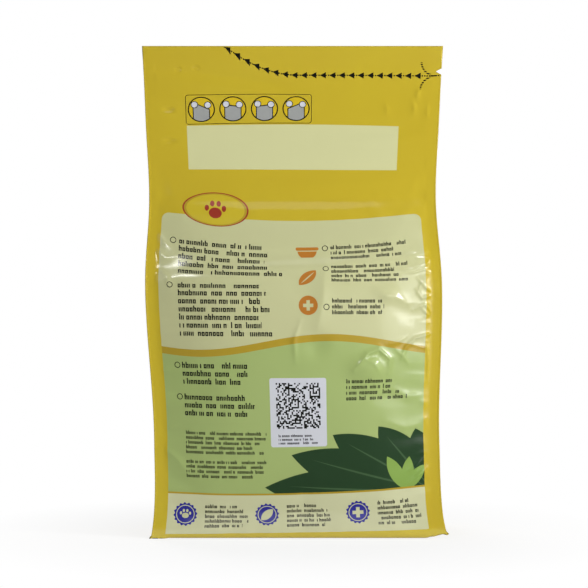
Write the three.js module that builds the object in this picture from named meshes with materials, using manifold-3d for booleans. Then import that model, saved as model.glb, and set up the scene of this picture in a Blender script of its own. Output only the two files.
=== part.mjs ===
// A sealed film bag of dry pet food, standing on its flat base.
// It is folded from one printed film: two face panels, two side gussets that fold inwards
// above the contents, a fin seal down each corner, and a flat seal along the top edge.
// Millimetres, +Z up. The origin is the middle of the base, and the printed back looks along -Y.
import * as THREE from "three";
import { mergeVertices } from "three/addons/utils/BufferGeometryUtils.js";
import Module from "manifold-3d";

// Driving dimensions
const faceWidth = 200; // flat width of a face panel, with the fin seals at its two edges
const bagHeight = 322; // from the base to the top edge
const gussetWidth = 76; // flat width of a side gusset, which is also the depth of the base
const fillHeight = 180; // the contents hold the bag open up to here
const finWidth = 6.5; // a corner fin seal, outside the corner fold
const finThickness = 0.5; // face film and gusset film welded together
const topSealHeight = 12;
const topSealThickness = 0.9; // both face films, with the folded gussets between them
const baseEdgeRadius = 3; // the film turns under the bag on this radius

// How far the contents push the film out, and how far that draws the fins in
const faceBulge = 17; // beyond the corner folds, in the middle of a face panel
const faceBulgeAtFill = 13;
const faceBulgeAtWaist = 4;
const gussetBulge = 3;
const footDraw = 6; // fin tips at the base, in from half the flat width
const thighDraw = 9.5;
const bellyDraw = 5.3;
const waistDraw = 7;
const shoulderCurve = 0.8; // 1 tapers the header straight from the fill, and less tucks it in sooner

// Tear notch in the right edge, under the top seal
const notchDepth = 5;
const notchHeight = 3.5;
const notchDrop = 17; // from the top edge to the middle of the notch

// How finely the curved film is divided
const panelColumns = 12;
const gussetColumns = 6;
const filmRows = 26;
const baseEdgeRows = 2;

// Overlaps that weld the fins and the top seal to the bag
const finRoot = 1.5;
const sealRoot = 1;
const headerHalfDepth = 1.0; // half the gap between the faces where the top seal starts

const halfGusset = gussetWidth / 2;
const sealFoot = bagHeight - topSealHeight;
const thighHeight = fillHeight * 0.43;
const bulgeHeight = fillHeight * 0.55;
const bellyHeight = fillHeight * 0.92;
const waistHeight = fillHeight + (sealFoot - fillHeight) * 0.32;

// A smooth curve through a few values, given at rising heights.
function smoothOverHeight(heights, values) {
  const curve = new THREE.CubicInterpolant(heights, values, 1);
  return (z) => curve.evaluate(z)[0];
}

// Half the width between the tips of the fins.
const finReach = smoothOverHeight(
  [0, thighHeight, bellyHeight, waistHeight, bagHeight],
  [footDraw, thighDraw, bellyDraw, waistDraw, 0].map((draw) => faceWidth / 2 - draw),
);

// How far the middle of a face panel stands out from its corner folds.
const panelBulge = smoothOverHeight(
  [0, bulgeHeight, fillHeight, waistHeight, sealFoot],
  [0, faceBulge, faceBulgeAtFill, faceBulgeAtWaist, 0],
);

// Half the distance between the two face panels, at the corner folds.
function halfDepth(z) {
  const rise = THREE.MathUtils.clamp((z - fillHeight) / (sealFoot - fillHeight), 0, 1);
  return THREE.MathUtils.lerp(halfGusset, headerHalfDepth, rise ** shoulderCurve);
}

// How far the middle of a gusset stands out of the corner folds at share v of its half width.
// Its film can't stretch, so it folds inwards as the two faces come together.
function gussetStand(z, v) {
  const fold = Math.sqrt(Math.max(0, halfGusset ** 2 - halfDepth(z) ** 2));
  const push = gussetBulge * Math.sin(Math.PI * Math.min(1, z / fillHeight));
  return push * (1 - v * v) - fold * (1 - Math.abs(v));
}

// How far the rounded bottom edge draws the film in.
function baseInset(z) {
  const below = Math.max(0, baseEdgeRadius - z);
  return baseEdgeRadius - Math.sqrt(baseEdgeRadius ** 2 - below ** 2);
}

// The first rows share the rounded bottom edge, and the rest are evenly spaced up to the top seal.
function rowHeight(row) {
  if (row <= baseEdgeRows) {
    return baseEdgeRadius * (1 - Math.cos(((row / baseEdgeRows) * Math.PI) / 2));
  }
  const share = (row - baseEdgeRows) / (filmRows - baseEdgeRows);
  return THREE.MathUtils.lerp(baseEdgeRadius, sealFoot, share);
}

// Moves each vertex of a geometry to the place that a function gives it.
function reshape(geometry, place) {
  const position = geometry.getAttribute("position");
  const point = new THREE.Vector3();
  for (let i = 0; i < position.count; i += 1) {
    point.fromBufferAttribute(position, i);
    position.setXYZ(i, ...place(point.x, point.y, point.z));
  }
  return geometry;
}

// The filled bag without its seals: a box of panels, curved and folded to shape.
function filledBody() {
  const box = new THREE.BoxGeometry(2, 2, filmRows, panelColumns, gussetColumns, filmRows);
  return reshape(box, (u, v, w) => {
    const z = rowHeight(Math.round(w + filmRows / 2));
    const cornerFold = finReach(z) - finWidth;
    const x = u * (cornerFold + gussetStand(z, v) - baseInset(z));
    const y = v * (halfDepth(z) + panelBulge(z) * (1 - u * u) - baseInset(z));
    return [x, y, z];
  });
}

// A fin seal down one corner. Side and face are -1 or 1.
function cornerFin(side, face) {
  const strip = new THREE.BoxGeometry(1, 1, filmRows, 1, 1, filmRows);
  return reshape(strip, (across, through, w) => {
    const z = rowHeight(Math.round(w + filmRows / 2));
    const middle = side * (finReach(z) - (finWidth + finRoot) / 2);
    const x = middle + across * (finWidth + finRoot);
    const y = face * halfDepth(z) + through * finThickness;
    return [x, y, z];
  });
}

// The flat seal along the top edge.
function topSeal() {
  const height = topSealHeight + sealRoot;
  const slab = new THREE.BoxGeometry(2, topSealThickness, height);
  slab.translate(0, 0, bagHeight - height / 2);
  return reshape(slab, (u, y, z) => [u * finReach(z), y, z]);
}

// The wedge that cuts the tear notch through both faces at the right edge.
function tearNotch() {
  const reach = finReach(bagHeight - notchDrop);
  const wedge = new THREE.Shape();
  wedge.moveTo(reach - notchDepth, 0);
  wedge.lineTo(reach + notchDepth, -notchHeight);
  wedge.lineTo(reach + notchDepth, notchHeight);
  wedge.closePath();
  const cutter = new THREE.ExtrudeGeometry(wedge, { depth: gussetWidth, bevelEnabled: false });
  cutter.translate(0, 0, -halfGusset);
  cutter.rotateX(Math.PI / 2);
  cutter.translate(0, 0, bagHeight - notchDrop);
  return cutter;
}

const wasm = await Module();
wasm.setup();

// A closed geometry as a solid that can be joined and cut.
function solidOf(geometry) {
  geometry.deleteAttribute("normal");
  geometry.deleteAttribute("uv");
  const merged = mergeVertices(geometry);
  return new wasm.Manifold(
    new wasm.Mesh({
      numProp: 3,
      vertProperties: merged.getAttribute("position").array,
      triVerts: new Uint32Array(merged.index.array),
    }),
  );
}

// A solid as a geometry again.
function geometryOf(solid) {
  const mesh = solid.getMesh();
  const geometry = new THREE.BufferGeometry();
  geometry.setAttribute("position", new THREE.BufferAttribute(mesh.vertProperties, 3));
  geometry.setIndex(new THREE.BufferAttribute(mesh.triVerts, 1));
  geometry.computeVertexNormals();
  return geometry;
}

let bagSolid = solidOf(filledBody()).add(solidOf(topSeal()));
for (const side of [-1, 1]) {
  for (const face of [-1, 1]) {
    bagSolid = bagSolid.add(solidOf(cornerFin(side, face)));
  }
}
bagSolid = bagSolid.subtract(solidOf(tearNotch()));

const glossyFilm = new THREE.MeshStandardMaterial({
  color: 0xc8ad2e,
  roughness: 0.28,
  metalness: 0,
});

const bag = new THREE.Mesh(geometryOf(bagSolid), glossyFilm);
bag.name = "bag";

const part = new THREE.Group();
part.add(bag);

export default part;
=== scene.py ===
"""Looks of an upright, sealed film bag of dry pet food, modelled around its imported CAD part."""

import math
import random

import bmesh
import bpy
import numpy as np
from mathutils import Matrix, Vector


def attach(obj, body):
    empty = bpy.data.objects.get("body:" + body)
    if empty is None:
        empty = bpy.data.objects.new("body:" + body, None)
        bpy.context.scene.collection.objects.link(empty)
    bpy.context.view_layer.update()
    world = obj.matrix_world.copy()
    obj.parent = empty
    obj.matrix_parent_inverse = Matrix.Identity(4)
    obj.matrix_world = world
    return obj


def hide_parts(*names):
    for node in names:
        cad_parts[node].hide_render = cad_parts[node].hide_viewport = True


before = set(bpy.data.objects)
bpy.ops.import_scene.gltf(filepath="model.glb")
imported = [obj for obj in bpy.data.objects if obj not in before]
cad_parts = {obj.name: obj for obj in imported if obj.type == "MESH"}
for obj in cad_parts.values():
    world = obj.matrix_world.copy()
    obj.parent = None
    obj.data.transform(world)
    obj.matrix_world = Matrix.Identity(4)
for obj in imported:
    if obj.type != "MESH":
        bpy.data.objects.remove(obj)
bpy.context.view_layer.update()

MM = 0.001

# The bag's sizes, in millimetres, as the CAD part has them
FACE_WIDTH = 200
BAG_HEIGHT = 322
HALF_GUSSET = 38
FILL_HEIGHT = 180
FIN_WIDTH = 6.5
SEAL_FOOT = BAG_HEIGHT - 12
WAIST_HEIGHT = FILL_HEIGHT + 0.32 * (SEAL_FOOT - FILL_HEIGHT)
GUSSET_BULGE = 3
NOTCH_HEIGHT = BAG_HEIGHT - 17
NOTCH_DEPTH = 4
NOTCH_HALF = 2.1

# The film web: columns round the bag and rows up it
FIN_COLUMNS = 2
PANEL_COLUMNS = 44
GUSSET_COLUMNS = 14
BASE_ROWS = 9
SIDE_ROWS = 76
FACE_COLUMNS = PANEL_COLUMNS + 2 * FIN_COLUMNS
SIDE_COLUMNS = GUSSET_COLUMNS + 2 * FIN_COLUMNS
COLUMNS = 2 * FACE_COLUMNS + 2 * SIDE_COLUMNS
ROWS = BASE_ROWS + SIDE_ROWS
SEAL_ROWS = 3
FILM_GAP = 0.2
SEAL_HALF_DEPTH = 0.3
PANEL_FILM = 177
FILM_LENGTH = 328
FILM_MAP = "film"
TIP_ROUNDING = 1.6
PANEL_CROWN = 2.5

# Settling of the film over the contents
SETTLE_FRAMES = 36
MOST_MOVE = 8
RIDGE_POINT = 1.3

# Film belongs to a side of the bag when it looks that way at least this much and lies this far out
FACING = 0.3
OUTSIDE = 0.35
SEAL_FADE = 1.2

# Left, right, low and high of the areas with fine crinkles
CRINKLED = ((64, 92, 100, 188), (37, 64, 104, 126))

# The lower right corner of the shown face, which is turned up a little
CORNER_LEFT = 86
CORNER_WIDE = 11
CORNER_TALL = 14
CORNER_LIFT = 3

# The film's shine, and the studio
FILM_SHINE = 0.65
AMBIENT = 0.22
FLOOR_WHITE = 0.8
LAMP_AIM = Vector((0, 0, 0.16))


def smooth_through(at, heights, values):
    """A smooth curve through a few values at rising heights, read at an array of heights."""
    heights = np.asarray(heights, float)
    values = np.asarray(values, float)
    slope = np.gradient(values, heights)
    k = np.clip(np.searchsorted(heights, at) - 1, 0, len(heights) - 2)
    step = heights[k + 1] - heights[k]
    t = np.clip((at - heights[k]) / step, 0, 1)
    start = values[k] * (2 * t**3 - 3 * t**2 + 1) + slope[k] * step * (t**3 - 2 * t**2 + t)
    end = values[k + 1] * (3 * t**2 - 2 * t**3) + slope[k + 1] * step * (t**3 - t**2)
    return start + end


def fin_reach(z):
    """Half the width between the tips of the fins."""
    heights = [0, 10, 63, 166, 217, 271, BAG_HEIGHT]
    return FACE_WIDTH / 2 - smooth_through(z, heights, [5.2, 6.7, 8.6, 4.8, 6.8, 3.5, 0.3])


def panel_bulge(z):
    """How far the middle of a face panel stands out from its corner folds."""
    heights = [0, 25, 99, 160, FILL_HEIGHT, WAIST_HEIGHT, SEAL_FOOT, BAG_HEIGHT]
    return smooth_through(z, heights, [0, 7, 15, 14.5, 11, 4, 0, 0])


def half_depth(z):
    """Half the distance between the two face panels, at the corner folds."""
    heights = [0, 140, 170, 186, 200, WAIST_HEIGHT, 262, SEAL_FOOT, BAG_HEIGHT]
    depths = [38, 38, 37, 33.5, 28, 20, 10, SEAL_HALF_DEPTH, SEAL_HALF_DEPTH]
    return smooth_through(z, heights, depths)


def lean(z):
    """How far the contents have slumped to the right."""
    return smooth_through(z, [0, 90, 170, 220, BAG_HEIGHT], [4.2, 2.2, 0.6, 0, 0])


def row_heights():
    """The height of each film row at a corner fold, from the base edge to the top edge."""
    z = np.linspace(0, BAG_HEIGHT, 3001)
    run = np.concatenate([[0], np.cumsum(np.hypot(np.diff(z), np.diff(half_depth(z))))])
    return np.interp(np.linspace(0, run[-1], SIDE_ROWS + 1), run, z)


def web_part(column):
    """The part of the web that a column lies in, its place across that part, and the part's face or side."""
    column = column % COLUMNS
    face, side = -1, 1
    if column >= FACE_COLUMNS + SIDE_COLUMNS:
        column -= FACE_COLUMNS + SIDE_COLUMNS
        face, side = 1, -1
    if column <= FACE_COLUMNS:
        across = -face * (column - FACE_COLUMNS / 2)
        beyond = abs(across) - PANEL_COLUMNS / 2
        if beyond <= 0:
            return "panel", across / (PANEL_COLUMNS / 2), face
        return "outer fin", math.copysign(beyond / FIN_COLUMNS, across), face
    across = side * (column - FACE_COLUMNS - SIDE_COLUMNS / 2)
    beyond = abs(across) - GUSSET_COLUMNS / 2
    if beyond <= 0:
        return "gusset", across / (GUSSET_COLUMNS / 2), side
    return "inner fin", side * beyond / FIN_COLUMNS, math.copysign(1, across)


class Rows:
    """The bag's section at every film row, from the middle of the base to the top edge."""

    def __init__(self):
        row = np.arange(ROWS + 1)
        up = np.maximum(row - BASE_ROWS, 0)
        under = np.maximum(BASE_ROWS - row, 0) * HALF_GUSSET / BASE_ROWS
        self.z = row_heights()[up]
        self.root = fin_reach(self.z) - FIN_WIDTH - under
        self.deep = half_depth(self.z) - under
        self.gap = np.where(up == 0, 0, FILM_GAP)
        self.bulge = panel_bulge(self.z)
        self.fold = np.sqrt(np.maximum(0, HALF_GUSSET**2 - half_depth(self.z) ** 2))
        self.push = GUSSET_BULGE * np.sin(np.pi * np.minimum(1, self.z / FILL_HEIGHT))
        self.lean = lean(self.z)

    def column(self, column):
        """Where a column of the film goes on the filled bag, row by row."""
        kind, share, face = web_part(column)
        if kind == "panel":
            x = share * self.root
            y = face * (self.deep + self.gap + self.bulge * (1 - abs(share) ** PANEL_CROWN))
        elif kind == "gusset":
            x = face * (self.root + self.push * (1 - share * share) - self.fold * (1 - abs(share)))
            y = share * np.maximum(0, self.deep - self.gap)
        else:
            x = np.sign(share) * (self.root + abs(share) * (FIN_WIDTH + TIP_ROUNDING))
            offset = self.gap if kind == "outer fin" else -self.gap
            y = face * (self.deep + offset * (1 - abs(share)))
        return np.stack([x + self.lean, y, self.z], 1)


def in_fin(column):
    """Whether a column lies in a fin, beyond its root."""
    kind, share, _ = web_part(column)
    return kind.endswith("fin") and abs(share) > 0


def film_web():
    """The flat web of film, with each vertex marked with its column and row."""
    bpy.ops.object.select_all(action="DESELECT")
    bpy.ops.mesh.primitive_grid_add(x_subdivisions=COLUMNS, y_subdivisions=ROWS, size=1)
    web = bpy.context.object
    web.name = "film_bag"
    web.data.name = "film_bag"
    web.data.uv_layers[0].name = FILM_MAP
    flat = coordinates(web.data)
    for name, share, count in (("column", flat[:, 0], COLUMNS), ("row", flat[:, 1], ROWS)):
        mark = web.data.attributes.new(name, "INT", "POINT")
        mark.data.foreach_set("value", np.rint((share + 0.5) * count).astype(np.int32))
    return web


def coordinates(mesh):
    """Every vertex's place."""
    found = np.zeros(3 * len(mesh.vertices))
    mesh.vertices.foreach_get("co", found)
    return found.reshape(-1, 3)


def marks_of(mesh):
    """The column and row of every vertex."""
    found = []
    for name in ("column", "row"):
        values = np.zeros(len(mesh.vertices), np.int32)
        mesh.attributes[name].data.foreach_get("value", values)
        found.append(values)
    return found


def wrap_web(web):
    """Wraps the web round the contents and welds its edges, base and top."""
    column, row = marks_of(web.data)
    rows = Rows()
    places = np.array([rows.column(c) for c in range(COLUMNS + 1)])
    web.data.vertices.foreach_set("co", (places[column, row] * MM).ravel())
    bm = bmesh.new()
    bm.from_mesh(web.data)
    column_of = bm.verts.layers.int["column"]
    row_of = bm.verts.layers.int["row"]
    loose = [v for v in bm.verts if v[row_of] < BASE_ROWS and in_fin(v[column_of])]
    bmesh.ops.delete(bm, geom=loose, context="VERTS")
    bmesh.ops.remove_doubles(bm, verts=bm.verts, dist=0.01 * MM)
    at = {(v[column_of] % COLUMNS, v[row_of]): v for v in bm.verts}
    close_top(bm, at)
    close_fin_feet(bm, at)
    bmesh.ops.recalc_face_normals(bm, faces=bm.faces)
    bm.to_mesh(web.data)
    bm.free()


def close_top(bm, at):
    """Welds the front half of the top edge to the back half, column by column."""
    middle = FACE_COLUMNS + SIDE_COLUMNS // 2
    for c in range(middle - COLUMNS // 2, middle):
        ring = [c, c + 1, 2 * middle - c - 1, 2 * middle - c]
        corners = list(dict.fromkeys(at[k % COLUMNS, ROWS] for k in ring))
        bm.faces.new(corners)


def close_fin_feet(bm, at):
    """Closes the lower end of each fin."""
    for tip in (0, FACE_COLUMNS, FACE_COLUMNS + SIDE_COLUMNS, 2 * FACE_COLUMNS + SIDE_COLUMNS):
        loop = [at.get(((tip + k) % COLUMNS, BASE_ROWS)) for k in range(-FIN_COLUMNS, FIN_COLUMNS + 1)]
        corners = list(dict.fromkeys(v for v in loop if v is not None))
        bm.faces.new(corners)


def weights(piece, name, values):
    """A vertex group with a weight for every vertex."""
    group = piece.vertex_groups.new(name=name)
    for index, value in enumerate(values):
        group.add([index], float(value), "REPLACE")
    return group.name


def held_film(piece):
    """How firmly each vertex is held: the seals, the base and the folded header gussets don't move."""
    heights = row_heights()
    held = np.zeros(len(piece.data.vertices))
    for k, (column, row) in enumerate(zip(*marks_of(piece.data))):
        kind, share, _ = web_part(column)
        z = heights[max(0, row - BASE_ROWS)]
        if kind.endswith("fin") or abs(share) == 1 or row <= BASE_ROWS or row >= ROWS - SEAL_ROWS:
            held[k] = 1
        elif kind == "gusset":
            held[k] = np.clip((z - FILL_HEIGHT) / 30, 0, 1)
        else:
            held[k] = 0.9 * np.clip((z - 200) / 50, 0, 1)
    return held


def spot(places, x, z, wide, tall):
    """A soft spot on the face that shows, from 0 to 1."""
    near = ((places[:, 0] - x) / wide) ** 2 + ((places[:, 2] - z) / tall) ** 2
    return np.where(places[:, 1] < 0, np.exp(-near), 0)


def slack_film(piece):
    """Where the film has spare length, which wrinkles."""
    places = coordinates(piece.data) / MM
    slack = 0.9 * spot(places, 82, 160, 14, 30)
    slack += 0.5 * spot(places, -84, 175, 12, 30)
    slack += 0.4 * spot(places, 50, 115, 24, 18)
    return np.clip(slack, 0, 1)


def film_cloth(piece):
    """The cloth of a thin, stiff film that the contents press outwards."""
    cloth = piece.modifiers.new("Settle", "CLOTH")
    film = cloth.settings
    film.quality = 5
    film.mass = 0.15
    film.tension_stiffness = 40
    film.compression_stiffness = 40
    film.shear_stiffness = 20
    film.bending_stiffness = 1.5
    film.tension_damping = 8
    film.compression_damping = 8
    film.shear_damping = 8
    film.air_damping = 2
    film.vertex_group_mass = weights(piece, "held", held_film(piece))
    film.vertex_group_shrink = weights(piece, "slack", slack_film(piece))
    film.shrink_min = -0.002
    film.shrink_max = -0.03
    film.use_pressure = True
    film.uniform_pressure_force = 1.5
    film.effector_weights.gravity = 0
    cloth.collision_settings.use_collision = False
    cloth.collision_settings.use_self_collision = False
    return cloth


def settle(piece):
    """Lets the film settle over the contents as cloth, and keeps the result as the mesh."""
    cloth = film_cloth(piece)
    scene = bpy.context.scene
    for step in range(1, SETTLE_FRAMES + 1):
        scene.frame_set(step)
    settled = piece.evaluated_get(bpy.context.evaluated_depsgraph_get())
    before = coordinates(piece.data)
    move = coordinates(settled.data) - before
    length = np.linalg.norm(move, axis=1, keepdims=True)
    move *= np.minimum(1, MOST_MOVE * MM / np.maximum(length, 1e-9))
    piece.modifiers.remove(cloth)
    piece.data.vertices.foreach_set("co", (before + move).ravel())
    piece.data.update()
    scene.frame_set(1)


def in_view(face):
    """Whether a mesh face is on the side that the photograph shows."""
    return face.normal.y < -FACING and face.calc_center_median().y < -OUTSIDE * MM


def in_crinkles(face):
    """Whether a mesh face is where the film is finely crinkled."""
    x, _, z = face.calc_center_median() / MM
    return in_view(face) and any(a < x < b and low < z < high for a, b, low, high in CRINKLED)


def round_off(piece):
    """Rounds the film with one subdivision, and divides it further where its creases show."""
    smooth = piece.modifiers.new("Round", "SUBSURF")
    smooth.levels = 1
    smooth.render_levels = 1
    bpy.ops.object.modifier_apply(modifier=smooth.name)
    bm = bmesh.new()
    bm.from_mesh(piece.data)
    for chosen in (in_view, in_crinkles):
        edges = list({e for f in bm.faces if chosen(f) for e in f.edges})
        bmesh.ops.subdivide_edges(bm, edges=edges, cuts=1, use_grid_fill=True, smooth=1.0)
        bm.normal_update()
    bm.to_mesh(piece.data)
    bm.free()


def cut_notch(piece):
    """Draws the right edge of the welded film back into the V of the tear notch."""
    places = coordinates(piece.data) / MM
    x, _, z = places.T
    root = fin_reach(z) - FIN_WIDTH + lean(z)
    across = np.clip((x - root) / FIN_WIDTH, 0, 1)
    tips = np.where(across == 1, np.abs(z - NOTCH_HEIGHT), np.inf)
    middle = z[np.argmin(tips)]
    opened = np.clip(1 - np.abs(z - middle) / NOTCH_HALF, 0, 1)
    places[:, 0] -= NOTCH_DEPTH * opened * across
    piece.data.vertices.foreach_set("co", (places * MM).ravel())
    piece.data.update()


def lift_corner(piece):
    """Turns the lower right corner of the shown face up a little."""
    places = coordinates(piece.data) / MM
    x, y, z = places.T
    share = np.clip((x - CORNER_LEFT) / CORNER_WIDE, 0, 1) * np.clip(1 - z / CORNER_TALL, 0, 1)
    places[:, 2] += np.where(y < 0, CORNER_LIFT * share, 0)
    piece.data.vertices.foreach_set("co", (places * MM).ravel())
    piece.data.update()


class Creases:
    """Folds and dents pressed into the film that looks one way along an axis.
    The axis is 0 for the gussets and 1 for the faces. Places are millimetres across the bag and up it."""

    def __init__(self, piece, axis, way):
        self.piece = piece
        self.places = coordinates(piece.data) / MM
        self.normals = np.zeros(3 * len(piece.data.vertices), np.float32)
        piece.data.vertices.foreach_get("normal", self.normals)
        self.normals = self.normals.reshape(-1, 3).astype(float)
        x, y, z = self.places.T
        shown = (way * self.normals[:, axis] > FACING) & (way * self.places[:, axis] > OUTSIDE)
        face_room = fin_reach(z) - FIN_WIDTH - np.abs(x - lean(z))
        gusset_room = half_depth(z) - np.abs(y)
        inside = face_room if axis == 1 else gusset_room
        self.flat = self.places[:, [1 - axis, 2]]
        self.room = np.where(shown, np.clip(inside / SEAL_FADE, 0, 1), 0)
        self.lift = np.zeros(len(x))

    def along(self, path):
        """Distance to the left of a path, and how far along it, from 0 to 1, at every vertex."""
        flat = self.flat
        path = np.asarray(path, float)
        step = np.diff(path, axis=0)
        run = np.concatenate([[0], np.cumsum(np.linalg.norm(step, axis=1))])
        best = np.full(len(flat), np.inf)
        side = np.zeros(len(flat))
        way = np.zeros(len(flat))
        for k, (start, move) in enumerate(zip(path, step)):
            t = np.clip((flat - start) @ move / (move @ move), 0, 1)
            off = flat - start - t[:, None] * move
            far = np.linalg.norm(off, axis=1)
            near = far < best
            best[near] = far[near]
            side[near] = np.sign(move[0] * off[near, 1] - move[1] * off[near, 0])
            way[near] = (run[k] + t[near] * (run[k + 1] - run[k])) / run[-1]
        return best, side, way

    def ridge(self, path, width, height):
        """A rounded ridge along a path, which fades out at both ends."""
        far, _, way = self.along(path)
        self.lift += height * np.exp(-((far / width) ** RIDGE_POINT)) * self.fade(way)

    def fade(self, way):
        """From 0 at the ends of a path to 1 in its middle."""
        return np.sin(np.pi * np.clip(way, 0.06, 0.94)) ** 0.6

    def fold(self, path, width, height):
        """A fold along a path: the film to its left stands out, and to its right it sinks."""
        far, side, way = self.along(path)
        step = side * far / width
        self.lift += height * 1.6 * step * np.exp(-(step**2)) * self.fade(way)

    def dent(self, x, z, wide, tall, depth):
        """A round hollow with a slight rim, or a low dome where the depth is negative."""
        near = ((self.flat[:, 0] - x) / wide) ** 2 + ((self.flat[:, 1] - z) / tall) ** 2
        self.lift -= depth * (1 - 0.8 * near) * np.exp(-near)

    def pucker_fins(self, draw, width, top):
        """Small puckers that run in from the fin seals, up to a height."""
        for side in (-1, 1):
            z = 12
            while z < top:
                x = side * (fin_reach(z) - FIN_WIDTH) + lean(z)
                inwards = x - side * draw.uniform(6, 15)
                height = draw.uniform(0.12, 0.45)
                path = [(x, z), (inwards, z + draw.uniform(-4, 4))]
                self.ridge(path, width * draw.uniform(1, 1.6), height)
                z += draw.uniform(8, 22)

    def press(self):
        """Moves the film by all the folds and dents."""
        moved = self.places + self.normals * (self.lift * self.room)[:, None]
        self.piece.data.vertices.foreach_set("co", (moved * MM).ravel())
        self.piece.data.update()


def crease_other_face(piece, draw):
    """Soft wrinkles of the face that the photograph doesn't show."""
    creases = Creases(piece, 1, 1)
    creases.pucker_fins(draw, 2.6, SEAL_FOOT - 12)
    for path, width, height in (
        ([(-80, 178), (-40, 174), (10, 178)], 4, 0.8),
        ([(84, 168), (70, 160), (62, 146)], 3, 0.9),
        ([(-86, 150), (-72, 142), (-66, 130)], 3, 0.9),
        ([(20, 120), (34, 112), (40, 98)], 3.5, 0.8),
        ([(-60, 62), (-46, 50)], 3, 0.7),
    ):
        creases.ridge(path, width, height)
    creases.fold([(88, 214), (0, 216), (-88, 214)], 6, 0.7)
    creases.press()


def crease_gussets(piece, draw):
    """The pressed middle fold of each gusset, the folds that spread from it, and puckers at the fins."""
    for side in (-1, 1):
        creases = Creases(piece, 0, side)
        creases.ridge([(0, 20), (0, 190)], 3, -1)
        creases.ridge([(-34, 150), (-16, 176), (0, 197)], 3.2, 0.8)
        creases.ridge([(34, 154), (18, 178), (0, 197)], 3.2, 0.8)
        for _ in range(9):
            edge = draw.choice((-36, 36))
            z = draw.uniform(18, 165)
            inner = (edge * draw.uniform(0.35, 0.7), z + draw.uniform(-9, 9))
            creases.ridge([(edge, z), inner], 3.2, draw.uniform(0.4, 0.9))
        creases.press()


# Ridges of the face that the photograph shows: path, width and height
SHOWN_RIDGES = (
    ([(90, 180), (85, 175.5), (77, 173), (68, 172)], 1.0, 0.9),
    ([(91, 170), (85, 173), (78, 171), (70, 170)], 0.9, 0.7),
    ([(89, 185), (80, 183), (70, 182)], 2.0, 0.5),
    ([(80, 167), (85, 162), (90, 158)], 0.9, 0.9),
    ([(79, 160), (83, 154.5), (90, 156.5)], 0.9, 0.9),
    ([(86, 168), (82, 163), (80, 157)], 0.9, 0.6),
    ([(77, 147), (85, 150.5), (90, 144)], 1.0, 0.9),
    ([(82, 149), (87, 144), (84, 141)], 0.9, 0.7),
    ([(90, 132), (78, 129), (72.5, 124), (69.5, 116)], 1.0, 1.0),
    ([(39, 109), (47.5, 119.5), (55, 122), (62, 116), (61, 107)], 1.7, 1.5),
    ([(46, 116), (52, 113), (55, 107)], 1.8, 0.8),
    ([(66, 122), (71, 117), (74, 113)], 1.4, 0.7),
    ([(73, 130), (66, 126), (60, 125)], 1.3, 0.6),
    ([(86, 127), (87, 114), (86.5, 101)], 1.0, 0.7),
    ([(54, 159), (60, 156), (66, 155), (74, 151)], 2.4, 1.1),
    ([(61, 283), (62.5, 279), (62, 275)], 1.3, 0.8),
    ([(79, 284), (80.5, 280), (80, 276)], 1.3, 0.8),
    ([(84, 293), (82.5, 289), (83, 286)], 1.3, 0.8),
    ([(91, 283), (89, 278), (89.5, 273)], 1.4, 0.7),
    ([(86, 46), (79, 39), (72, 35)], 1.2, 1.1),
    ([(84, 52), (76, 44)], 1.2, 0.6),
    ([(21, 176), (19, 150), (15, 130)], 6, 1.6),
    ([(5, 140), (1, 128), (2, 114)], 1.5, 0.9),
    ([(62, 98), (74, 92), (85, 93)], 3, 0.8),
    ([(60, 76), (72, 72), (85, 75)], 3.5, 0.8),
    ([(-88, 197), (-83, 191), (-79, 188)], 1.5, 0.9),
    ([(-88, 186), (-82, 181)], 1.5, 0.8),
    ([(-87, 174), (-81, 169), (-78, 160)], 1.7, 0.9),
    ([(-84, 60), (-74, 52), (-66, 42)], 2.5, 0.7),
)

# Folds of that face: path, width and height
SHOWN_FOLDS = (
    ([(78, 181), (50, 181), (24, 178), (-8, 177), (-45, 174), (-82, 171)], 6, 1.1),
    ([(84, 217), (30, 215), (-30, 215), (-90, 218)], 5, 0.7),
    ([(1, 289), (-27, 295.5), (-57, 299.5), (-88, 304)], 5, 0.8),
    ([(92, 238), (40, 233), (-10, 232)], 7, 0.6),
    ([(-92, 286), (-60, 281), (-20, 283)], 5, 0.5),
    ([(93, 268), (70, 262), (30, 262)], 6, 0.5),
)

# Hollows of that face, and domes with a negative depth: across, up, width, height and depth
SHOWN_DENTS = (
    (15, 125, 9, 10, 1.5),
    (48, 110, 14, 12, -2.6),
    (60, 157, 10, 6, -1.0),
    (-76, 306, 2.2, 1.8, 0.8),
    (-64, 307, 2.6, 1.8, 0.8),
    (-82, 279, 4.5, 2.0, 1.1),
    (-81, 258, 5.0, 2.2, 0.8),
)


def crease_shown_face(piece, draw):
    """The wrinkles of the face that the photograph shows."""
    creases = Creases(piece, 1, -1)
    creases.pucker_fins(draw, 1.5, FILL_HEIGHT + 10)
    for path, width, height in SHOWN_RIDGES:
        creases.ridge(path, width, height)
    for path, width, height in SHOWN_FOLDS:
        creases.fold(path, width, height)
    for dent in SHOWN_DENTS:
        creases.dent(*dent)
    creases.press()


# Colours as they show on a screen, 0 to 255
YELLOW = (190, 170, 45)
DEEP_YELLOW = (184, 160, 41)
GUIDE_YELLOW = (200, 172, 34)
CREAM = (187, 188, 142)
CODE_CREAM = (198, 198, 148)
STRIP_CREAM = (194, 195, 156)
GREEN = (156, 173, 107)
LIME = (128, 158, 76)
DARK_GREEN = (38, 63, 38)
DEEP_GREEN = (62, 88, 58)
GOLD = (168, 143, 44)
BLUE = (46, 46, 138)
ORANGE = (174, 112, 44)
BRICK = (146, 52, 38)
PAPER = (196, 198, 205)
GREY = (150, 152, 150)
INK = (20, 22, 16)


def linear(colour):
    """A screen colour as the shader takes it."""
    shares = [c / 255 for c in colour]
    return tuple(c / 12.92 if c <= 0.04045 else ((c + 0.055) / 1.055) ** 2.4 for c in shares) + (1,)


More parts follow.
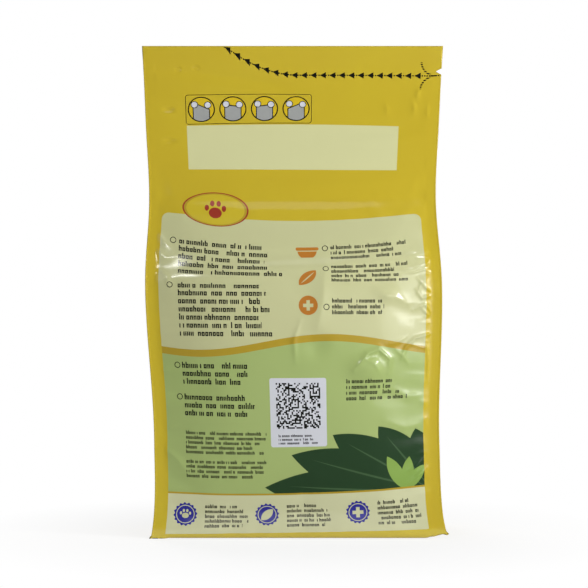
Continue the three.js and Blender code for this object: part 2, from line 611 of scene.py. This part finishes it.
class Value:
    """A number that changes over the film. Arithmetic on it adds Math nodes."""

    def __init__(self, press, socket):
        self.press = press
        self.socket = socket

    def __add__(self, other):
        return self.press.math("ADD", self, other)

    def __radd__(self, other):
        return self.press.math("ADD", other, self)

    def __sub__(self, other):
        return self.press.math("SUBTRACT", self, other)

    def __rsub__(self, other):
        return self.press.math("SUBTRACT", other, self)

    def __mul__(self, other):
        return self.press.math("MULTIPLY", self, other)

    def __rmul__(self, other):
        return self.press.math("MULTIPLY", other, self)

    def __truediv__(self, other):
        return self.press.math("DIVIDE", self, other)

    def __rtruediv__(self, other):
        return self.press.math("DIVIDE", other, self)

    def __lt__(self, other):
        return self.press.math("LESS_THAN", self, other)

    def __gt__(self, other):
        return self.press.math("GREATER_THAN", self, other)

    def __or__(self, other):
        return self.press.math("MAXIMUM", self, other)

    def __abs__(self):
        return self.press.math("ABSOLUTE", self)

    def floor(self):
        return self.press.math("FLOOR", self)

    def fract(self):
        return self.press.math("FRACT", self)

    def sine(self):
        return self.press.math("SINE", self)


class Press:
    """Makes the nodes of one node tree."""

    def __init__(self, tree):
        self.tree = tree

    def node(self, kind, settings=None, sockets=None):
        """A new node, with its settings and the values of its sockets."""
        made = self.tree.nodes.new(kind)
        for name, value in (settings or {}).items():
            setattr(made, name, value)
        for name, value in (sockets or {}).items():
            self.join(value, made.inputs[name])
        return made

    def join(self, value, socket):
        """Links a value to a socket, or sets the socket to a constant."""
        if isinstance(value, Value):
            self.tree.links.new(value.socket, socket)
        else:
            socket.default_value = value

    def value(self, node, output=0):
        return Value(self, node.outputs[output])

    def math(self, operation, *values):
        return self.value(self.node("ShaderNodeMath", {"operation": operation}, dict(enumerate(values))))

    def vector(self, operation, *values, output="Vector"):
        made = self.node("ShaderNodeVectorMath", {"operation": operation}, dict(enumerate(values)))
        return self.value(made, output)

    def place(self, x, y):
        return self.value(self.node("ShaderNodeCombineXYZ", None, {"X": x, "Y": y}))

    def speckle(self, x, y):
        """A random number, from 0 to 1, for each pair of whole numbers."""
        made = self.node("ShaderNodeTexWhiteNoise", {"noise_dimensions": "2D"}, {"Vector": self.place(x, y)})
        return self.value(made, "Value")

    def mix(self, mask, below, above):
        """One colour printed over another where the mask is 1."""
        made = self.node("ShaderNodeMix", {"data_type": "RGBA"}, {0: mask, 6: below, 7: above})
        return self.value(made, 2)


class FilmPrint:
    """The print on one face of the bag. Places are millimetres on the flat film:
    x to the right from the panel's middle line, and t up from the base edge."""

    def __init__(self, press, middle_column):
        self.press = press
        web = press.node("ShaderNodeUVMap", {"uv_map": FILM_MAP})
        split = press.node("ShaderNodeSeparateXYZ", None, {"Vector": press.value(web)})
        across = press.value(split, "X")
        up = press.value(split, "Y")
        self.x = (across * COLUMNS - middle_column) * (PANEL_FILM / PANEL_COLUMNS)
        self.t = (up * ROWS - BASE_ROWS) * (FILM_LENGTH / SIDE_ROWS)
        self.here = press.place(self.x, self.t)
        self.layers = []

    def lay(self, mask, colour):
        """Prints a colour where the mask is 1, over the layers before it."""
        self.layers.append((mask, linear(colour)))

    def band(self, value, low, high):
        """Where a value lies between two limits."""
        return abs(value - (low + high) / 2) < (high - low) / 2

    def box(self, left, right, low, high):
        return self.band(self.x, left, right) * self.band(self.t, low, high)

    def round_box(self, left, right, low, high, corner):
        middle = ((left + right) / 2, (low + high) / 2, 0)
        half = ((right - left) / 2 - corner, (high - low) / 2 - corner, 0)
        out = self.press.vector("SUBTRACT", self.here, middle)
        out = self.press.vector("SUBTRACT", self.press.vector("ABSOLUTE", out), half)
        out = self.press.vector("MAXIMUM", out, (0, 0, 0))
        return self.press.vector("LENGTH", out, output="Value") < corner

    def far(self, x, t):
        """Distance from a point."""
        return self.press.vector("DISTANCE", self.here, (x, t, 0), output="Value")

    def disc(self, x, t, radius):
        return self.far(x, t) < radius

    def ring(self, x, t, radius, line):
        return abs(self.far(x, t) - radius) < line / 2

    def oval(self, x, t, half_width, half_height):
        """Distance from a point, where 1 is the edge of an oval."""
        out = self.press.vector("SUBTRACT", self.here, (x, t, 0))
        out = self.press.vector("DIVIDE", out, (half_width, half_height, 1))
        return self.press.vector("LENGTH", out, output="Value")

    def leaf(self, x, t, length, width, angle):
        """A pointed leaf from a point, at an angle in degrees: where two large discs overlap."""
        turn = math.radians(angle)
        radius = (length**2 + width**2) / (4 * width)
        middle = (x + length / 2 * math.cos(turn), t + length / 2 * math.sin(turn))
        off = radius - width / 2
        aside = (-off * math.sin(turn), off * math.cos(turn))
        one = self.disc(middle[0] + aside[0], middle[1] + aside[1], radius)
        return one * self.disc(middle[0] - aside[0], middle[1] - aside[1], radius)

    def paw(self, x, t, size):
        """A plain paw print: a pad and four toes."""
        print_mask = self.oval(x, t - 0.25 * size, 0.5 * size, 0.39 * size) < 1
        for aside, up in ((-0.66, 0.1), (-0.25, 0.45), (0.25, 0.45), (0.66, 0.1)):
            toe = self.oval(x + aside * size, t + up * size, 0.17 * size, 0.23 * size)
            print_mask = print_mask | (toe < 1)
        return print_mask

    def cross(self, x, t, size):
        """A plus sign."""
        arm = size / 3
        upright = self.box(x - arm, x + arm, t - size, t + size)
        return upright | self.box(x - size, x + size, t - arm, t + arm)

    def fields(self):
        """The large fields of colour."""
        panel = self.round_box(-86.5, 84.8, -20, 211, 5)
        wave = 125 + 5 * (self.x / 27 + 0.75).sine()
        above = self.t > wave
        self.lay(panel * above, CREAM)
        green = panel * (1 - above)
        self.lay(green, GREEN)
        self.leaves(green)
        self.lay(panel * (abs(self.t - wave) < 2.2), GOLD)
        self.lay(panel * (self.t < 30), STRIP_CREAM)
        self.lay(panel * self.band(self.t, 29.6, 30.8), GOLD)
        self.lay(self.t < 3, YELLOW)
        self.lay(self.box(-68.5, 69, 242.8, 273.3), CODE_CREAM)

    def leaves(self, field):
        """A spray of leaves that fans out of the lower right corner."""
        blades = ((112, 30, 176), (98, 30, 163), (78, 28, 148), (58, 24, 128), (44, 20, 104))
        for length, width, angle in blades:
            self.lay(field * self.leaf(90, 27, length, width, angle), DARK_GREEN)
        for length, angle in ((96, 175), (84, 162.5), (67, 148), (49, 128)):
            self.lay(field * self.leaf(90, 27, length, 1.3, angle), DEEP_GREEN)
        for length, width, angle in ((26, 9, 118), (22, 8, 82), (20, 8, 50)):
            self.lay(field * self.leaf(72, 29, length, width, angle), LIME)

    def words(self, pitch, left):
        """Rows of short joined strokes from a left edge, which stand for small print.
        The second value is how ragged each row's end is."""
        line = self.t / pitch
        row = line.floor()
        up = line.fract()
        place = (self.x - left) / (0.48 * pitch)
        mark = place.floor()
        across = place.fract()
        kind = self.press.speckle(mark, row)
        style = self.press.speckle(mark + 0.5, row)
        middle = self.band(up, 0.14, 0.66)
        stem = self.band(across, 0.04, 0.38) * self.band(up, 0.14, 0.9) * (middle | (kind > 0.78))
        second = self.band(across, 0.54, 0.88) * middle * (style > 0.1)
        bars = self.band(up, 0.52, 0.66) * (style > 0.3) | self.band(up, 0.14, 0.28) * (style > 0.6)
        sway = (mark * 0.31 + row * 1.7).sine() - (row * 1.7).sine()
        beat = (0.2 + mark / 5.7 + 0.3 * sway).fract()
        marks = (beat > 0.17) * (stem | second | bars * self.band(across, 0.04, 0.88))
        ragged = self.press.speckle(row, 7.5)
        return marks, ragged

    def paragraphs(self, pitch, left, blocks):
        """Blocks of small print with the same left edge: right, lowest row, and number of rows."""
        marks, ragged = self.words(pitch, left)
        for right, lowest, rows in blocks:
            end = right - 0.28 * (right - left) * ragged
            in_rows = self.band(self.t, lowest * pitch, (lowest + rows) * pitch)
            self.lay(marks * (self.x > left) * (self.x < end) * in_rows, INK)

    def small_print(self):
        """All blocks of small print, and the rings beside them."""
        large, middle, small, tiny = 5.0, 3.6, 3.1, 2.4
        self.paragraphs(large, -74, [(-3, 34, 5), (-4, 26, 7), (-26, 16, 3), (-26, 20, 3)])
        self.paragraphs(middle, 24, [(78, 51, 3), (78, 46, 4), (62, 40, 3)])
        self.paragraphs(middle, 33, [(74, 25, 4)])
        self.paragraphs(small, -74, [(-14, 13, 4), (-14, 18, 5)])
        self.paragraphs(tiny, -12, [(18, 26, 3)])
        rings = self.ring(-78, 192.5, 1.9, 0.5)
        for x, t in ((-79, 162.5), (-77, 112.5), (-77, 92.5), (20.5, 192.2), (20.5, 176.5), (20.5, 149)):
            rings = rings | self.ring(x, t, 1.7, 0.5)
        self.lay(rings, INK)

    def tear_line(self):
        """The dotted line and arrows that show where the header tears off, from the notch."""
        arrow_pitch, dot_pitch, dot_share = 6.05, 1.5, 0.62
        left_of = 0 - self.press.math("MINIMUM", self.x - 4, 0)
        rise = 0.0178 * left_of
        off = (self.t - 308 - 0.5 * rise * left_of) / self.press.math("SQRT", 1 + rise * rise)
        off = abs(off)
        along = (self.x / arrow_pitch + 0.12).fract() * arrow_pitch
        arrows = (along < 3.9) * (off < along * 0.56) * self.band(self.x, -44, 84.5)
        dots = ((self.x / dot_pitch).fract() < dot_share) * (off < 0.45) * self.band(self.x, -44, 96)
        self.lay(arrows | dots, INK)
        bow = (self.x - 92) / 10
        bend = (off - 9) / 9
        fork = abs(bow * bow + bend * bend - 1) < 0.12
        fork = fork * (self.x < 92) * (off < 9) * ((self.t / dot_pitch).fract() < dot_share)
        self.lay(fork, INK)

    def opening_guide(self):
        """Four round pictures of a plain bag, in a thin frame."""
        left, right, pitch = -69, 12.5, 20.4
        outer = self.round_box(left, right, 274.1, 294.8, 2)
        self.lay(outer * (1 - self.round_box(-68.6, 12.1, 274.5, 294.4, 1.6)), INK)
        place = (self.x - left) / pitch
        number = place.floor()
        across = (place.fract() - 0.5) * pitch
        up = self.t - 284.5
        here = self.press.place(across, up)
        far = self.press.vector("LENGTH", here, output="Value")
        row = self.band(self.x, left, right)
        self.lay(row * (far < 8.8), INK)
        inside = row * (far < 8.0)
        self.lay(inside, GUIDE_YELLOW)
        rim = up - 2.2 - 0.3 * across * (number - 1.5)
        body = inside * (abs(across) < 5.6)
        self.lay(body * (rim < 0.5), INK)
        self.lay(body * (rim < -0.2) * (abs(across) < 5.0), GREY)
        for aside, height in ((-4.4, 3.4), (4.2, 3.0)):
            thumb = self.press.vector("DISTANCE", here, (aside, height, 0), output="Value")
            self.lay(inside * (thumb < 2.4), INK)
            self.lay(inside * (thumb < 1.9), PAPER)

    def badges(self):
        """Three scalloped badges with small print beside them, along the bottom strip."""
        marks, ragged = self.words(3.4, -61.5)
        middle = 16.3
        symbols = (
            (-74.5, self.paw(-74.5, 16.6, 4.6)),
            (-20.6, self.leaf(-24.4, 12.4, 10.8, 5.6, 45)),
            (39.2, self.cross(39.2, middle, 3.6)),
        )
        for x, symbol in symbols:
            across = self.x - x
            up = self.t - middle
            turn = self.press.math("ARCTAN2", up, across)
            self.lay(self.far(x, middle) < 7.5 + 0.45 * (turn * 16).sine(), BLUE)
            self.lay(self.ring(x, middle, 5.9, 0.5), STRIP_CREAM)
            self.lay(symbol, STRIP_CREAM)
            text = (across > 13) * (across < 42 - 9 * ragged) * self.band(self.t, 6.8, 23.8)
            self.lay(marks * text * (self.x < 82), INK)

    def icons(self):
        """Orange pictures beside the upper small print: a bowl, a leaf and a round mark."""
        bowl = self.disc(9, 190.8, 6.2) * self.band(self.t, 185.8, 190.2)
        self.lay(bowl | self.round_box(1.6, 16.4, 190.8, 193, 1), ORANGE)
        self.lay(self.leaf(3.5, 163.5, 16, 8, 48), ORANGE)
        self.lay(self.leaf(4.5, 164.5, 13, 0.9, 48), CREAM)
        self.lay(self.disc(9, 150, 6), ORANGE)
        self.lay(self.cross(9, 150, 3.2), CREAM)

    def label(self):
        """A white label with a plain speckled square."""
        self.lay(self.round_box(-17, 20, 61, 105, 1.5), PAPER)
        cells = self.press.speckle(self.x.floor(), self.t.floor()) > 0.52
        self.lay(cells * self.box(-13, 16, 73, 102), INK)

    def plaque(self, x, t, half_width, half_height):
        """An oval plaque with a plain paw print."""
        oval = self.oval(x, t, half_width, half_height)
        self.lay(oval < 1, BRICK)
        self.lay(oval < 0.95, GOLD)
        self.lay(oval < 0.88, YELLOW)
        self.lay(self.paw(x, t - 0.02 * half_height, 0.78 * half_height), BRICK)

    def other_face(self):
        """The plain design of the face that the photograph doesn't show."""
        wave = 92 + 7 * (self.x / 30).sine()
        panel = self.round_box(-86.5, 86.5, -20, 240, 5)
        green = panel * (self.t < wave)
        self.lay(green, GREEN)
        for x, length, angle in ((-88, 78, 42), (-88, 92, 20), (88, 78, 138), (88, 92, 160)):
            self.lay(green * self.leaf(x, 24, length, 24, angle), DARK_GREEN)
            self.lay(green * self.leaf(x, 24, 0.85 * length, 1.3, angle), DEEP_GREEN)
        self.lay(panel * (abs(self.t - wave) < 2.2), GOLD)
        self.lay(panel * (self.t < 30), STRIP_CREAM)
        self.lay(panel * self.band(self.t, 29.6, 30.8), GOLD)
        self.lay(self.t < 3, YELLOW)
        self.plaque(0, 172, 58, 38)
        for x in (-40, 0, 40):
            self.lay(self.disc(x, 16.5, 7.5), BLUE)
            self.lay(self.paw(x, 16.8, 4.6), STRIP_CREAM)

    def over(self, film):
        """All layers of this face, printed over the plain film."""
        inked = film
        for mask, colour in self.layers:
            inked = self.press.mix(mask, inked, colour)
        return self.press.mix(abs(self.x) < PANEL_FILM / 2 + FIN_WIDTH, film, inked)


def printed_film():
    """Glossy laminate film with its print."""
    film = bpy.data.materials.new("printed_film")
    film.use_nodes = True
    press = Press(film.node_tree)
    shader = film.node_tree.nodes["Principled BSDF"]
    place = press.value(press.node("ShaderNodeTexCoord"), "Object")
    cloud = press.node("ShaderNodeTexNoise", None, {"Vector": place, "Scale": 14, "Detail": 2})
    plain = press.mix(press.value(cloud, 0), linear(YELLOW), linear(DEEP_YELLOW))
    other = FilmPrint(press, FACE_COLUMNS * 1.5 + SIDE_COLUMNS)
    other.other_face()
    design = FilmPrint(press, FACE_COLUMNS / 2)
    design.fields()
    design.label()
    design.small_print()
    design.tear_line()
    design.opening_guide()
    design.badges()
    design.icons()
    design.plaque(-51, 216, 22, 11)
    press.join(design.over(other.over(plain)), shader.inputs["Base Color"])
    smear = press.node("ShaderNodeTexNoise", None, {"Vector": place, "Scale": 30, "Detail": 2})
    press.join(0.15 + 0.05 * press.value(smear, 0), shader.inputs["Roughness"])
    ripple = press.node("ShaderNodeTexNoise", None, {"Vector": place, "Scale": 60, "Detail": 1})
    height = press.value(ripple, 0)
    bump = press.node("ShaderNodeBump", None, {"Strength": 0.05, "Distance": 0.002, "Height": height})
    press.join(press.value(bump), shader.inputs["Normal"])
    shader.inputs["Specular IOR Level"].default_value = FILM_SHINE
    return film


def lay_print(web):
    """Shifts the print where the film is drawn down over the shoulder, and where it is skewed low down."""
    layer = web.data.uv_layers[FILM_MAP].uv
    flat = np.zeros(2 * len(layer), np.float32)
    layer.foreach_get("vector", flat)
    flat = flat.reshape(-1, 2).astype(float)
    share = (flat[:, 0] * COLUMNS - FACE_COLUMNS / 2) / (PANEL_COLUMNS / 2)
    t = (flat[:, 1] * ROWS - BASE_ROWS) * FILM_LENGTH / SIDE_ROWS
    heights = [0, 20, 60, 150, 162, 172, 186, 205, 224, 242, 328]
    sag = smooth_through(t, heights, [0, 2, 2, 0.5, 0.8, 4.5, 7, 7, 3, 0, 0])
    skew = smooth_through(t, [0, 30, 90, 130, 328], [3, 4.5, 1.5, 0, 0])
    drawn_up = smooth_through(t, [0, 120, 165, 200, 225, 245, 328], [0, 0, 1.5, 2.6, 2, 0, 0])
    moved = sag * (1 - share**2) - skew * (1 + share) / 2 - drawn_up
    flat[:, 1] += np.where(np.abs(share) <= 1, moved, 0) * SIDE_ROWS / FILM_LENGTH / ROWS
    layer.foreach_set("vector", flat.astype(np.float32).ravel())


film_bag = film_web()
lay_print(film_bag)
wrap_web(film_bag)
settle(film_bag)
round_off(film_bag)
cut_notch(film_bag)
lift_corner(film_bag)
dice = random.Random(4)
crease_other_face(film_bag, dice)
crease_shown_face(film_bag, dice)
crease_gussets(film_bag, dice)
bpy.ops.object.shade_smooth()
film_bag.data.materials.append(printed_film())

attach(film_bag, "root")
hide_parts("bag")


def softbox(name, place, wide, tall, radiance, mirrored=True):
    """An oval lamp of an even brightness, turned to the bag.
    A lamp that isn't mirrored only gives soft light."""
    data = bpy.data.lights.new(name, "AREA")
    data.shape = "ELLIPSE"
    data.size = wide
    data.size_y = tall
    data.energy = radiance * math.pi * math.pi * wide * tall / 4
    lamp = bpy.data.objects.new(name, data)
    bpy.context.scene.collection.objects.link(lamp)
    lamp.location = place
    lamp.rotation_euler = (lamp.location - LAMP_AIM).to_track_quat("Z", "Y").to_euler()
    lamp.visible_glossy = mirrored


def seen_rays(press):
    """1 for rays that show the background: from the camera, mirrored, or through something."""
    path = press.node("ShaderNodeLightPath")
    mirrored = press.value(path, "Is Glossy Ray")
    through = press.value(path, "Is Transmission Ray")
    return press.value(path, "Is Camera Ray") | mirrored | through


def studio_floor():
    """A pale floor that shows the bag's shadow near it and turns white further out."""
    bpy.ops.object.select_all(action="DESELECT")
    bpy.ops.mesh.primitive_plane_add(size=8)
    floor = bpy.context.object
    floor.name = "floor"
    paint = bpy.data.materials.new("floor_paint")
    paint.use_nodes = True
    press = Press(paint.node_tree)
    shader = paint.node_tree.nodes["Principled BSDF"]
    shader.inputs["Base Color"].default_value = (0.9, 0.9, 0.9, 1)
    shader.inputs["Roughness"].default_value = 0.9
    place = press.value(press.node("ShaderNodeTexCoord"), "Object")
    far = press.vector("LENGTH", place, output="Value")
    white = press.node("ShaderNodeEmission", None, {"Color": (1, 1, 1, 1), "Strength": 1})
    share = press.math("MINIMUM", FLOOR_WHITE + (far - 0.1) * 1.6, 1) | FLOOR_WHITE
    both = press.node("ShaderNodeMixShader", None, {0: seen_rays(press) * share})
    press.tree.links.new(shader.outputs[0], both.inputs[1])
    press.tree.links.new(white.outputs[0], both.inputs[2])
    press.tree.links.new(both.outputs[0], paint.node_tree.nodes["Material Output"].inputs["Surface"])
    floor.data.materials.append(paint)


def dark_card(name, place, turn):
    """A dark card near the bag, which only shows mirrored in the film and keeps its print deep."""
    bpy.ops.object.select_all(action="DESELECT")
    bpy.ops.mesh.primitive_plane_add(size=6, location=place, rotation=turn)
    card = bpy.context.object
    card.name = name
    paint = bpy.data.materials.new(name)
    paint.use_nodes = True
    shader = paint.node_tree.nodes["Principled BSDF"]
    shader.inputs["Base Color"].default_value = (0.03, 0.03, 0.03, 1)
    shader.inputs["Roughness"].default_value = 1
    card.data.materials.append(paint)
    card.visible_camera = False
    card.visible_diffuse = False
    card.visible_shadow = False
    card.visible_transmission = False


def studio_world(ambient):
    """Even light from all round, behind a white background."""
    world = bpy.data.worlds.new("studio")
    bpy.context.scene.world = world
    world.use_nodes = True
    press = Press(world.node_tree)
    background = world.node_tree.nodes["Background"]
    background.inputs["Color"].default_value = (1, 1, 1, 1)
    press.join(ambient + (1 - ambient) * seen_rays(press), background.inputs["Strength"])


softbox("right_softbox", (0.75, -1.25, 0.3), 1.1, 0.7, 4.2, mirrored=False)
softbox("front_softbox", (0.2, -1.9, 0.6), 1.0, 1.0, 0.7, mirrored=False)
softbox("top_softbox", (0.0, -0.3, 1.6), 0.9, 0.9, 0.4, mirrored=False)
softbox("back_softbox", (-0.7, 1.5, 0.9), 1.2, 1.2, 4.5, mirrored=False)
softbox("right_glow", (0.95, -1.05, 0.3), 0.6, 0.7, 1.6)
softbox("right_flash", (1.13, -0.98, 0.32), 0.28, 0.28, 6)
softbox("right_spark", (1.45, -0.65, 0.75), 0.26, 0.26, 44)
softbox("right_high_spark", (1.0, -0.62, 1.9), 0.28, 0.28, 46)
softbox("left_spark", (-0.9, -1.2, 0.9), 0.2, 0.2, 22)
softbox("back_glow", (-0.9, 1.2, 0.9), 0.5, 0.5, 3)
dark_card("dark_front_card", (0, -2.4, 2.6), (math.pi / 2, 0, 0))
dark_card("dark_floor_card", (0, -3.06, 0.003), (0, 0, 0))
dark_card("dark_back_card", (0, 2.4, 2.6), (math.pi / 2, 0, 0))
studio_floor()
studio_world(AMBIENT)

CAMERA_DISTANCE = 1.2
FRAME_WIDTH = 0.3902
camera_data = bpy.data.cameras.new("camera")
camera_data.sensor_width = 36
camera_data.lens = camera_data.sensor_width * CAMERA_DISTANCE / FRAME_WIDTH
camera = bpy.data.objects.new("camera", camera_data)
bpy.context.scene.collection.objects.link(camera)
camera.location = (0.001, -CAMERA_DISTANCE, 0.1572)
camera.rotation_euler = (math.pi / 2, 0, 0)
bpy.context.scene.camera = camera
bpy.context.scene.view_settings.view_transform = "Standard"
